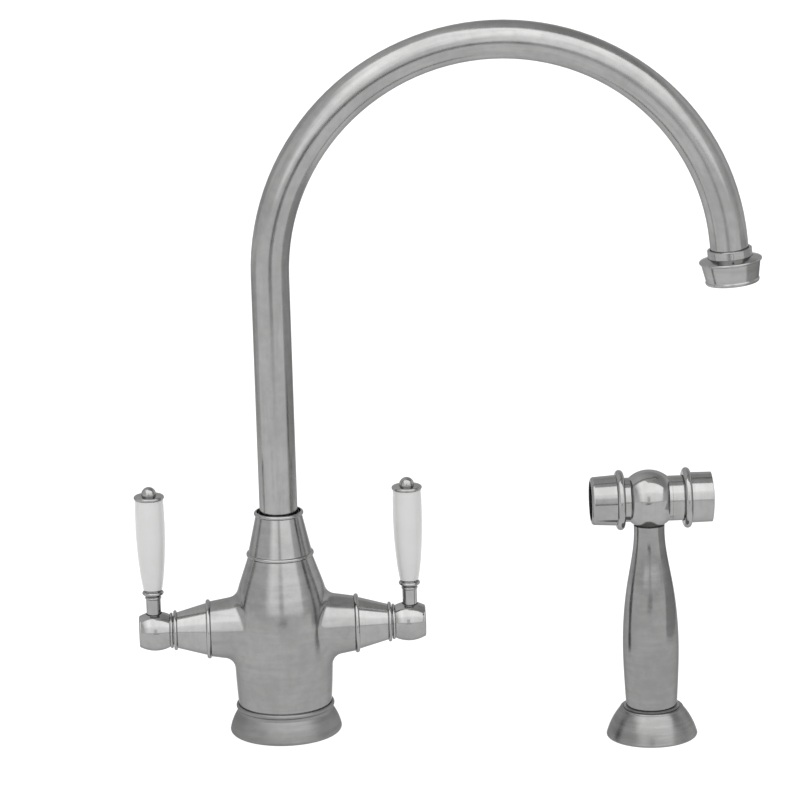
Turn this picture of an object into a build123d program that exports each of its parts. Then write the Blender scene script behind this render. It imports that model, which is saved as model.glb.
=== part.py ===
from build123d import *
from math import cos, radians, sin, tan
import os

os.makedirs("parts", exist_ok=True)

# Side spray kitchen faucet, in millimetres. The origin is the centre of the faucet's base on the deck,
# +X runs along the right-hand valve arm and the spout at rest, -Y is the front, +Z is up.

# ---------------------------------------------------------------- clearances
running_fit = 0.06          # on the radius, between a shaft and the bore it turns or slides in
joint_fit = 0.10            # on the radius, between pieces screwed, pressed or brazed together
moving_gap = 0.30           # between faces of pieces that move past each other
lapped_gap = 0.05           # between the two lapped ceramic faces of a valve

# ---------------------------------------------------------------- base flange and gasket
base_radius = 28.05         # widest radius, just above the deck
base_height = 15.6          # top face, on which the body stands
base_edge = 1.8             # rounding where the flare turns under
flare_height = 11.2         # height at which the flare meets the neck
flare_top_radius = 24.0
flare_curve = 25.0          # radius of the flare's bulge
neck_radius = 23.9          # neck of the flange under its bead
base_bead_radius = 24.7
base_bead_width = 2.4
base_groove = 0.5           # depth of the line between flange and body
gasket_inner_radius = 22.0
gasket_outer_radius = 25.6
gasket_thickness = 1.6

# ---------------------------------------------------------------- body casting
foot_radius = 23.5          # outside of the body where it meets the flange
body_radius = 24.9          # fullest radius of the turned body
body_waist_height = 52.6    # height of the fullest radius
shoulder_radius = 20.9      # where the upper curve runs into the straight taper
shoulder_height = 77.5
crown_radius = 16.0         # top of the taper, under the collar nut
crown_height = 91.6
spigot_radius = 20.8        # foot spigot inside the base flange
arm_height = 54.5           # axis of the two valve arms
socket_radius = 13.9        # at the end face
socket_reach = 36.0         # end face of each side socket, from the body's axis
socket_taper = 9.5          # degrees; the socket widens towards the body
socket_fillet = 6.0

# waterways and bores in the body
seat_reach = 22.0           # valve seat face, from the body's axis
valve_bore_radius = 9.4
gallery_radius = 10.6       # outlet groove round each cartridge
gallery_start = 26.0
gallery_length = 6.0
inlet_radius = 4.0
inlet_reach = 13.0          # distance of each supply waterway from the body's axis
inlet_overrun = 0.5         # the inlet is drilled this far past the waterway it meets
supply_radius = 3.2
port_radius = 4.46          # tapped M10 x 1 port for a flexible tail
port_depth = 10.0
mixing_radius = 7.0         # central chamber that holds the diverter
mixing_floor = 30.0
mixing_gallery_radius = 8.6
mixing_gallery_height = 9.0
cross_offset = 8.2          # the cross passage lies this far behind the arms' axis
cross_radius = 1.9
spray_port_radius = 3.2
stud_offset = 14.0          # the two fixing studs, in front of and behind the axis
stud_radius = 3.4           # tapping radius of M8
stud_depth = 12.0
spout_bore_radius = 9.6
spout_bore_rise = 9.5       # floor of the spout's bore above the arms' axis, the diverter's seat
thread_radius = 13.2        # neck thread that the collar nut screws on to
neck_length = 7.3

# ---------------------------------------------------------------- collar nut, washer and bush
collar_height = 22.9        # from the crown of the body to the top of its upper bead
collar_foot_radius = 15.85
collar_top_radius = 11.6
collar_bead_width = 2.0
collar_foot_bead = 16.9
collar_top_bead = 12.4
collar_mouth_radius = 11.1  # opening round the spout tube
washer_thickness = 0.7
washer_radius = 12.2
bush_flange = 0.7
bush_wall = 1.3
bush_length = 9.0

# ---------------------------------------------------------------- spout
tube_radius = 9.5
tube_wall = 1.2
tube_rise = 234.0           # height at which the leg turns into the arch
arch_radius = 113.4
arch_sweep = 175.0          # degrees; the outlet leans outward by what is left to 180
tube_tail = 10.8            # straight end of the tube past the arch
foot_flange_radius = 12.1
foot_flange_thickness = 2.0
foot_room = 7.65            # between the foot and the floor of its bore, for the diverter's head
foot_passage_radius = 6.3
foot_spigot_length = 10.0
ring_section = 1.7          # section of the spout's sealing rings
ring_rises = (8.0, 16.0)    # above the foot's lower end

# nozzle, by distance along the tube past the end of the arch
nozzle_collar_start = 4.6
nozzle_collar_length = 3.8
nozzle_collar_radius = 11.1
nozzle_roll = 0.4           # height of the collar's rolled upper edge
nozzle_spigot_radius = 10.5
key_slot_width = 1.2
key_slot_height = 2.6
key_slot_depth = 0.6
cup_length = 13.2
cup_top_radius = 11.3
cup_slope_radius = 15.1     # outer end of the sloping top, where the rim begins
cup_slope_drop = 1.3
cup_rim_radius = 15.6
cup_rim_drop = 1.8          # from the top of the cup to its rim
cup_waist_radius = 14.8
cup_waist_drop = 2.8
cup_foot_radius = 13.2
cup_bead_radius = 13.5
cup_bead_width = 1.9
cup_lip_radius = 12.9
aerator_radius = 11.6
aerator_length = 9.0
aerator_wall = 1.6
aerator_plate = 1.6
aerator_cell_pitch = 3.4    # from ring to ring of its honeycomb
aerator_washer_thickness = 1.2
aerator_cell_radius = 1.3

# ---------------------------------------------------------------- diverter
sleeve_wall = 1.5
sleeve_web = 1.5
sleeve_window_radius = 1.8
valve_hole_radius = 3.4     # way from the diverter up to the spout
piston_travel = 4.0
piston_head_radius = 4.8
piston_head_thickness = 1.5
piston_seal_thickness = 1.0
piston_stem_radius = 1.5
piston_guide_rise = 14.0    # above the chamber's floor
piston_guide_thickness = 3.0
piston_notch_radius = 1.7
diverter_wire = 0.7
diverter_coils = 5

# ---------------------------------------------------------------- valve cartridges, by reach along the arm
seal_thickness = 1.5
seal_inner_radius = 4.4
seal_outer_radius = 6.1
disc_radius = 7.0
disc_thickness = 3.0
disc_port_radius = 2.0
disc_port_offset = 3.9
shell_radius = 8.9
shell_head_start = 36.2     # the shell's head bears on the end of the socket
shell_head_length = 2.8
shell_neck_radius = 6.4
shell_end = 53.0
window_radius = 1.5
spindle_radius = 4.0
spindle_flange = 1.8
tang_width = 3.0
tang_height = 1.2
drive_side = 5.6            # square end of the spindle
drive_end = 62.0

# ---------------------------------------------------------------- bonnets
bonnet_start = 36.0
bonnet_bead_width = 2.1
bonnet_bead_radius = 14.9
bonnet_back_radius = 13.5
bonnet_foot_radius = 13.1
bonnet_tip_radius = 9.0
bonnet_end = 54.6
tip_bead_width = 1.7
tip_bead_radius = 10.1
nose_radius = 7.2           # short nose that reaches into the hub and closes the line between them
nose_length = 0.8
bonnet_bore_depth = 8.0     # wide part of the bonnet's bore, over the cartridge's head

# ---------------------------------------------------------------- lever handles
lever_reach = 64.2
hub_gap = 0.35              # open line between bonnet and hub
hub_end = 71.8
hub_bead_width = 1.5
hub_bead_radius = 9.0
hub_waist_radius = 8.2
hub_radius = 9.9
hub_end_radius = 8.1
hub_edge = 0.8
hub_screw_reach = 59.4
hub_screw_radius = 2.0
hub_screw_length = 4.4
hub_screw_socket = 1.0
lever_spigot_radius = 2.2
lever_spigot_length = 4.2
lever_seat = 8.5            # flat in the hub on which the stem stands, above the arm's axis
seat_gap = 0.4              # the flat is this much wider than the stem, all round
stem_radius = 3.65
stem_edge = 1.0             # rounding of the stem's foot
stem_ring_height = 17.6     # heights above the arm's axis
stem_ring_radius = 4.1
stem_ring_width = 1.4
stem_bead_height = 20.1
stem_bead_radius = 5.35
stem_bead_width = 1.9
stem_seat_radius = 4.25     # neck on each side of the bead, and seat for the washer
stem_lip = 0.4
tie_rod_radius = 2.0
grip_washer_thickness = 0.5
grip_length = 46.6
grip_foot_radius = 4.7
grip_low_radius = 5.5
grip_low_height = 4.8
grip_mid_radius = 6.6
grip_mid_height = 15.2
grip_full_radius = 7.3
grip_full_height = 30.0
grip_top_radius = 7.05
cap_radius = 7.6
cap_thickness = 1.8         # at its rim
cap_edge = 0.8              # rounding of the cap disc's rim
cap_rise = 0.35             # the disc's upper face rises this much towards the dome
finial_radius = 3.75
finial_rise = 6.2           # from the underside of the cap disc to the top of the dome
tie_rod_engagement = 3.0

# ---------------------------------------------------------------- spray holder
spray_x = 182.0
spray_y = -31.0
holder_radius = 22.6
holder_edge = 0.9
holder_height = 15.0
holder_dome = 34.0          # radius of the dome's curve
holder_lip_radius = 15.8
holder_lip = 1.0            # rounding of the lip
holder_mouth_radius = 14.0
holder_throat_radius = 9.6  # tapped for the hose guide under the deck
holder_throat_height = 4.0
holder_ledge = 3.0          # ledge above the throat, on which the guide bush sits
holder_gasket_thickness = 1.2
holder_gasket_inner = 16.5
holder_gasket_outer = 20.0
guide_flange = 0.5          # the guide bush stands this far out of the holder's mouth
guide_bore_radius = 11.2

# ---------------------------------------------------------------- hose coupling
coupling_lift = 0.5         # underside of the coupling above the holder's throat
coupling_radius = 8.4
coupling_length = 24.0
coupling_port_radius = 6.95 # tapped M15 x 1 for the hose
coupling_port_depth = 8.0
coupling_bore_radius = 3.6
coupling_seal_section = 1.7
coupling_seal_height = 16.0
clip_height = 21.0
clip_thickness = 1.0
clip_depth = 0.9
clip_opening = 2.4

# ---------------------------------------------------------------- spray handle
handle_length = 92.8        # from the foot to the seat of the head
handle_foot_radius = 12.7
handle_foot_edge = 0.5
handle_spigot_radius = 10.9
handle_spigot_length = 10.0
handle_heel_radius = 13.3
handle_heel_rise = 11.0     # above the foot
handle_belly_radius = 13.9
handle_belly_rise = 33.0
handle_shoulder_radius = 11.2
handle_shoulder_drop = 29.6 # below the seat of the head
handle_waist_radius = 7.65
handle_waist_drop = 5.6
handle_bore_radius = 5.5
handle_thread_radius = 4.6
handle_thread_length = 6.0

# ---------------------------------------------------------------- spray head, by distance from its ball
head_rise = 13.0            # centre of the ball above the end of the handle
ball_radius = 14.6
head_bore_radius = 7.0
head_seat_reach = 3.6       # valve seat, on the rose side of the handle's axis
head_seat_radius = 3.4
head_seat_thickness = 2.4
head_way_radius = 2.6
rose_neck_radius = 10.95
rose_neck_reach = 12.5
rose_thread_radius = 9.4
rose_thread_length = 6.0
rose_chamber_radius = 6.6
sleeve_seat_reach = 11.0
sleeve_seat_radius = 11.15
sleeve_thread_radius = 9.0
sleeve_thread_length = 6.4
rose_bead_width = 3.9
rose_bead_radius = 14.9
rose_root_radius = 12.55
rose_rim_radius = 11.9
rose_reach = 28.8
rose_edge = 1.7
rose_wall = 2.1
face_recess = 3.2
face_thickness = 1.8
face_hole_radius = 0.55
face_ring_pitch = 3.1
rose_seal_thickness = 1.2
head_seal_thickness = 0.6
head_seal_inset = 0.4

# push button and valve
button_travel = 4.0
button_spare = 0.8          # left between the button and the valve sleeve when it is pushed right in
button_start = 16.8
button_end = 32.4
button_bead_width = 3.6
button_bead_radius = 15.0
button_root_radius = 12.5
button_rim_radius = 12.35
button_crown = 1.5          # height of the domed end
button_top = 2.6            # thickness at the middle of the button's end
button_boss_radius = 3.2
button_boss_length = 5.0
spring_chamber_radius = 6.2
spring_floor = 14.0
stem_rod_radius = 1.8
valve_pad_radius = 5.0
valve_pad_thickness = 1.4
valve_head_radius = 3.0
valve_head_thickness = 1.3
button_wire = 0.9
button_coils = 5
wire_sides = 6              # the springs' round wire is drawn with this many sides
seal_sides = 8              # and the sealing rings' round section with this many


def save(piece, name):
    """Labels a finished piece and writes it as its own file."""
    piece.part.label = name
    export_step(piece.part, f"parts/{name}.step")


def flat_ring(plane, outer, inner, thickness):
    """A plain washer or flat seal that stands on a plane."""
    with BuildPart() as washer:
        with BuildSketch(plane):
            Circle(outer)
            Circle(inner, mode=Mode.SUBTRACT)
        extrude(amount=thickness)
    return washer


def coil_spring(plane, start, length, mean_radius, wire, coils):
    """A compression spring of round wire along a plane's normal."""
    foot = plane.offset(start + wire / 2)
    path = Helix(pitch=(length - wire) / coils, height=length - wire, radius=mean_radius)
    path = foot.location * path
    with BuildPart() as spring:
        with BuildSketch(Plane(path @ 0, z_dir=path % 0)):
            RegularPolygon(wire / 2, wire_sides)
        sweep(path=path, is_frenet=True)
    return spring


# ================================================================ base flange
front = Plane.XZ
collar_neck = crown_height + neck_length
spout_bore_floor = arm_height + spout_bore_rise

with BuildPart() as base_flange:
    with BuildSketch(front):
        with BuildLine():
            under = Line((spigot_radius + joint_fit, 0), (base_radius - base_edge, 0))
            edge = RadiusArc(under @ 1, (base_radius, base_edge), -base_edge)
            flare = RadiusArc(edge @ 1, (flare_top_radius, flare_height), -flare_curve)
            bead_low = (neck_radius, base_height - base_groove - base_bead_width)
            bead_high = (neck_radius, base_height - base_groove)
            neck = Line(flare @ 1, bead_low)
            bead = ThreePointArc(bead_low, (base_bead_radius, (bead_low[1] + bead_high[1]) / 2), bead_high)
            Polyline(
                bead @ 1,
                (foot_radius - base_groove, base_height - base_groove),
                (foot_radius - base_groove, base_height),
                (spigot_radius + joint_fit, base_height),
                under @ 0,
            )
        make_face()
    revolve(axis=Axis.Z)
    with BuildSketch():
        Circle(gasket_outer_radius + joint_fit)
        Circle(gasket_inner_radius - joint_fit, mode=Mode.SUBTRACT)
    extrude(amount=gasket_thickness, mode=Mode.SUBTRACT)
save(base_flange, "base_flange")

deck_gasket = flat_ring(Plane.XY, gasket_outer_radius, gasket_inner_radius, gasket_thickness)
save(deck_gasket, "deck_gasket")

# ================================================================ body casting
with BuildPart() as body_casting:
    # the turned body, from its foot to the crown
    with BuildSketch(front):
        with BuildLine():
            waist = (body_radius, body_waist_height)
            foot = Line((0, base_height), (foot_radius, base_height))
            TangentArc(waist, foot @ 1, tangent=(0, -1))
            shoulder = TangentArc(waist, (shoulder_radius, shoulder_height), tangent=(0, 1))
            taper = Line(shoulder @ 1, (crown_radius, crown_height))
            Polyline(taper @ 1, (0, crown_height), foot @ 0)
        make_face()
    revolve(axis=Axis.Z)
    # the two side sockets, which flow into the body
    with BuildSketch(Plane.YZ):
        with Locations((0, arm_height)):
            Circle(socket_radius + socket_reach * tan(radians(socket_taper)))
    extrude(amount=socket_reach, both=True, taper=socket_taper)
    junctions = (
        body_casting.edges(Select.LAST)
        .filter_by(GeomType.LINE, reverse=True)
        .filter_by(lambda edge: abs(abs(edge.center().X) - socket_reach) > 1)
    )
    fillet(junctions, socket_fillet)
    # foot spigot and threaded neck
    with BuildSketch():
        Circle(spigot_radius)
    extrude(amount=base_height)
    with BuildSketch(Plane.XY.offset(crown_height)):
        Circle(thread_radius)
    extrude(amount=neck_length)
    # bore for the spout's foot, mixing chamber with its gallery, and the way down to the spray port
    with BuildSketch(Plane.XY.offset(spout_bore_floor)):
        Circle(spout_bore_radius)
    extrude(amount=collar_neck - spout_bore_floor, mode=Mode.SUBTRACT)
    with BuildSketch(Plane.XY.offset(mixing_floor)):
        Circle(mixing_radius)
    extrude(amount=spout_bore_floor - mixing_floor, mode=Mode.SUBTRACT)
    with BuildSketch(Plane.XY.offset(arm_height - mixing_gallery_height / 2)):
        Circle(mixing_gallery_radius)
    extrude(amount=mixing_gallery_height, mode=Mode.SUBTRACT)
    with BuildSketch():
        Circle(spray_port_radius)
    extrude(amount=mixing_floor, mode=Mode.SUBTRACT)
    # supply waterways, tapped ports and stud holes in the underside
    with BuildSketch():
        with Locations((inlet_reach, 0), (-inlet_reach, 0)):
            Circle(supply_radius)
    extrude(amount=arm_height, mode=Mode.SUBTRACT)
    with BuildSketch():
        with Locations((0, 0), (inlet_reach, 0), (-inlet_reach, 0)):
            Circle(port_radius)
    extrude(amount=port_depth, mode=Mode.SUBTRACT)
    with BuildSketch():
        with Locations((0, stud_offset), (0, -stud_offset)):
            Circle(stud_radius)
    extrude(amount=stud_depth, mode=Mode.SUBTRACT)
    # valve bores with their inlets and galleries, and the passage that joins the galleries
    for side in (1, -1):
        across = Plane(origin=(0, 0, arm_height), x_dir=(0, 0, 1), z_dir=(side, 0, 0))
        with BuildSketch(across.offset(seat_reach)):
            Circle(valve_bore_radius)
        extrude(amount=socket_reach - seat_reach, mode=Mode.SUBTRACT)
        with BuildSketch(across.offset(gallery_start)):
            Circle(gallery_radius)
        extrude(amount=gallery_length, mode=Mode.SUBTRACT)
        inlet_start = inlet_reach - supply_radius - inlet_overrun
        with BuildSketch(across.offset(inlet_start)):
            Circle(inlet_radius)
        extrude(amount=seat_reach - inlet_start, mode=Mode.SUBTRACT)
    with BuildSketch(Plane.YZ):
        with Locations((cross_offset, arm_height)):
            Circle(cross_radius)
    extrude(amount=gallery_start, both=True, mode=Mode.SUBTRACT)
save(body_casting, "body_casting")

# ================================================================ diverter
sleeve_floor = mixing_floor
sleeve_radius = mixing_radius - joint_fit
sleeve_bore = sleeve_radius - sleeve_wall

with BuildPart() as diverter_sleeve:
    with BuildSketch(Plane.XY.offset(sleeve_floor)):
        Circle(sleeve_radius)
    extrude(amount=spout_bore_floor - sleeve_floor)
    with BuildSketch(Plane.XY.offset(sleeve_floor + sleeve_web)):
        Circle(sleeve_bore)
    extrude(amount=spout_bore_floor - sleeve_floor - 2 * sleeve_web, mode=Mode.SUBTRACT)
    with BuildSketch(Plane.XY.offset(sleeve_floor)):
        Circle(valve_hole_radius)
    extrude(amount=spout_bore_floor - sleeve_floor, mode=Mode.SUBTRACT)
    with BuildSketch(Plane.XZ, Plane.YZ):
        with Locations((0, arm_height)):
            Circle(sleeve_window_radius)
    extrude(amount=mixing_radius, both=True, mode=Mode.SUBTRACT)
save(diverter_sleeve, "diverter_sleeve")

seal_rest = spout_bore_floor + moving_gap + piston_travel
head_rest = seal_rest + piston_seal_thickness
piston_guide_height = mixing_floor + piston_guide_rise

with BuildPart() as diverter_piston:
    with BuildSketch(Plane.XY.offset(head_rest)):
        Circle(piston_head_radius)
    extrude(amount=piston_head_thickness)
    with BuildSketch(Plane.XY.offset(piston_guide_height)):
        Circle(piston_stem_radius)
    extrude(amount=head_rest - piston_guide_height)
    with BuildSketch(Plane.XY.offset(piston_guide_height)):
        Circle(sleeve_bore - running_fit)
        with PolarLocations(sleeve_bore, 4):
            Circle(piston_notch_radius, mode=Mode.SUBTRACT)
    extrude(amount=piston_guide_thickness)
save(diverter_piston, "diverter_piston")

diverter_seal = flat_ring(
    Plane.XY.offset(seal_rest), piston_head_radius, piston_stem_radius, piston_seal_thickness
)
save(diverter_seal, "diverter_seal")

spring_foot = sleeve_floor + sleeve_web
diverter_spring = coil_spring(
    Plane.XY,
    spring_foot,
    piston_guide_height - spring_foot,
    (valve_hole_radius + sleeve_bore) / 2,
    diverter_wire,
    diverter_coils,
)
save(diverter_spring, "diverter_spring")

# ================================================================ collar nut, washer and bush
collar_top = crown_height + collar_height
washer_top = collar_neck + washer_thickness
foot_flange_low = washer_top + lapped_gap
foot_flange_high = foot_flange_low + foot_flange_thickness
bush_low = foot_flange_high + lapped_gap
bush_shoulder = bush_low + bush_flange

with BuildPart() as spout_collar:
    with BuildSketch(front):
        with BuildLine():
            inner_foot = (thread_radius + joint_fit, crown_height)
            foot_line = Line(inner_foot, (collar_foot_radius, crown_height))
            foot_bead = ThreePointArc(
                foot_line @ 1,
                (collar_foot_bead, crown_height + collar_bead_width / 2),
                (collar_foot_radius, crown_height + collar_bead_width),
            )
            cone = Line(foot_bead @ 1, (collar_top_radius, collar_top - collar_bead_width))
            top_bead = ThreePointArc(
                cone @ 1,
                (collar_top_bead, collar_top - collar_bead_width / 2),
                (collar_top_radius, collar_top),
            )
            Polyline(
                top_bead @ 1,
                (collar_mouth_radius, collar_top),
                (collar_mouth_radius, bush_shoulder),
                (washer_radius + joint_fit, bush_shoulder),
                (washer_radius + joint_fit, collar_neck),
                (thread_radius + joint_fit, collar_neck),
                inner_foot,
            )
        make_face()
    revolve(axis=Axis.Z)
save(spout_collar, "spout_collar")

thrust_washer = flat_ring(
    Plane.XY.offset(collar_neck), washer_radius, tube_radius + running_fit, washer_thickness
)
save(thrust_washer, "thrust_washer")

with BuildPart() as spout_bush:
    with BuildSketch(Plane.XY.offset(bush_low)):
        Circle(washer_radius)
    extrude(amount=bush_flange)
    with BuildSketch(Plane.XY.offset(bush_low)):
        Circle(tube_radius + bush_wall)
    extrude(amount=bush_length)
    with BuildSketch(Plane.XY.offset(bush_low)):
        Circle(tube_radius + running_fit)
    extrude(amount=bush_length, mode=Mode.SUBTRACT)
save(spout_bush, "spout_bush")

# ================================================================ spout
groove_floor = spout_bore_radius - running_fit - ring_section
foot_low = spout_bore_floor + foot_room
foot_length = foot_flange_low - foot_low

with BuildPart() as spout_foot:
    with BuildSketch(Plane.XY.offset(foot_low)):
        Circle(spout_bore_radius - running_fit)
    extrude(amount=foot_length)
    with BuildSketch(Plane.XY.offset(foot_flange_low)):
        Circle(foot_flange_radius)
    extrude(amount=foot_flange_thickness)
    with BuildSketch(Plane.XY.offset(foot_flange_high)):
        Circle(tube_radius - tube_wall - joint_fit)
    extrude(amount=foot_spigot_length)
    with BuildSketch(Plane.XY.offset(foot_low)):
        Circle(foot_passage_radius)
    extrude(amount=foot_length + foot_flange_thickness + foot_spigot_length, mode=Mode.SUBTRACT)
    for rise in ring_rises:
        with BuildSketch(Plane.XY.offset(foot_low + rise - ring_section / 2)):
            Circle(spout_bore_radius)
            Circle(groove_floor, mode=Mode.SUBTRACT)
        extrude(amount=ring_section, mode=Mode.SUBTRACT)
save(spout_foot, "spout_foot")

ring_radius = (ring_section - joint_fit) / 2
with BuildPart() as spout_seals:
    for rise in ring_rises:
        with BuildSketch(front):
            with Locations((groove_floor + ring_section / 2, foot_low + rise)):
                RegularPolygon(ring_radius, seal_sides)
        revolve(axis=Axis.Z)
save(spout_seals, "spout_seals")

outlet_lean = radians(180 - arch_sweep)
arch_end = Vector(arch_radius * (1 + cos(outlet_lean)), 0, tube_rise + arch_radius * sin(outlet_lean))
outlet_way = Vector(sin(outlet_lean), 0, -cos(outlet_lean))

with BuildPart() as spout_tube:
    with BuildLine():
        leg = Line((0, 0, foot_flange_high), (0, 0, tube_rise))
        arch = TangentArc(leg @ 1, arch_end, tangent=(0, 0, 1))
        tail = Line(arch @ 1, arch_end + outlet_way * tube_tail)
    with BuildSketch(Plane.XY.offset(foot_flange_high)):
        Circle(tube_radius)
        Circle(tube_radius - tube_wall, mode=Mode.SUBTRACT)
    sweep()
save(spout_tube, "spout_tube")

# ================================================================ nozzle
nozzle = Plane(origin=arch_end, x_dir=outlet_way, z_dir=(0, 1, 0))
nozzle_axis = Axis(arch_end, outlet_way)
outlet = Plane(origin=arch_end, x_dir=(0, -1, 0), z_dir=outlet_way)
cup_start = nozzle_collar_start + nozzle_collar_length
cup_end = cup_start + cup_length
washer_seat = tube_tail

with BuildPart() as nozzle_collar:
    with BuildSketch(nozzle):
        with BuildLine():
            bore_radius = tube_radius + lapped_gap
            bore = Line((tube_tail, bore_radius), (nozzle_collar_start, bore_radius))
            roll = ThreePointArc(
                bore @ 1,
                (nozzle_collar_start - nozzle_roll, (tube_radius + nozzle_collar_radius) / 2),
                (nozzle_collar_start, nozzle_collar_radius),
            )
            Polyline(
                roll @ 1,
                (cup_start, nozzle_collar_radius),
                (cup_start, nozzle_spigot_radius),
                (tube_tail, nozzle_spigot_radius),
                bore @ 0,
            )
        make_face()
    revolve(axis=nozzle_axis)
    # slot for the key that tightens the collar, in its front
    slot_middle = arch_end + outlet_way * (cup_start - nozzle_collar_length / 2)
    slot_plane = Plane(origin=slot_middle, x_dir=outlet_way, z_dir=(0, -1, 0))
    with BuildSketch(slot_plane.offset(nozzle_collar_radius)):
        SlotOverall(key_slot_height, key_slot_width)
    extrude(amount=-key_slot_depth, mode=Mode.SUBTRACT)
save(nozzle_collar, "nozzle_collar")

with BuildPart() as nozzle_cup:
    with BuildSketch(nozzle):
        with BuildLine():
            top = Line((cup_start, nozzle_spigot_radius + joint_fit), (cup_start, cup_top_radius))
            slope = Line(top @ 1, (cup_start + cup_slope_drop, cup_slope_radius))
            rim = ThreePointArc(
                slope @ 1,
                (cup_start + cup_rim_drop, cup_rim_radius),
                (cup_start + cup_waist_drop, cup_waist_radius),
            )
            wall = Line(rim @ 1, (cup_end - cup_bead_width, cup_foot_radius))
            bead = ThreePointArc(
                wall @ 1, (cup_end - cup_bead_width / 2, cup_bead_radius), (cup_end, cup_lip_radius)
            )
            Polyline(
                bead @ 1,
                (cup_end, aerator_radius + joint_fit),
                (washer_seat, aerator_radius + joint_fit),
                (washer_seat, nozzle_spigot_radius + joint_fit),
                top @ 0,
            )
        make_face()
    revolve(axis=nozzle_axis)
save(nozzle_cup, "nozzle_cup")

aerator_washer = flat_ring(
    outlet.offset(washer_seat), aerator_radius, tube_radius - tube_wall, aerator_washer_thickness
)
save(aerator_washer, "aerator_washer")

aerator_start = washer_seat + aerator_washer_thickness
with BuildPart() as aerator_insert:
    with BuildSketch(outlet.offset(aerator_start)):
        Circle(aerator_radius)
    extrude(amount=aerator_length)
    with BuildSketch(outlet.offset(aerator_start)):
        Circle(aerator_radius - aerator_wall)
    extrude(amount=aerator_length - aerator_plate, mode=Mode.SUBTRACT)
    with BuildSketch(outlet.offset(aerator_start + aerator_length - aerator_plate)):
        RegularPolygon(aerator_cell_radius, 6)
        for turn in (1, 2):
            with PolarLocations(turn * aerator_cell_pitch, 6 * turn):
                RegularPolygon(aerator_cell_radius, 6)
    extrude(amount=aerator_plate, mode=Mode.SUBTRACT)
save(aerator_insert, "aerator_insert")

# ================================================================ valve arms, one on each side
disc_start = seat_reach + seal_thickness
moving_start = disc_start + disc_thickness + lapped_gap
flange_start = moving_start + disc_thickness
flange_end = flange_start + spindle_flange
shell_bore_end = flange_end + lapped_gap
hub_start = bonnet_end + hub_gap

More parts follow.
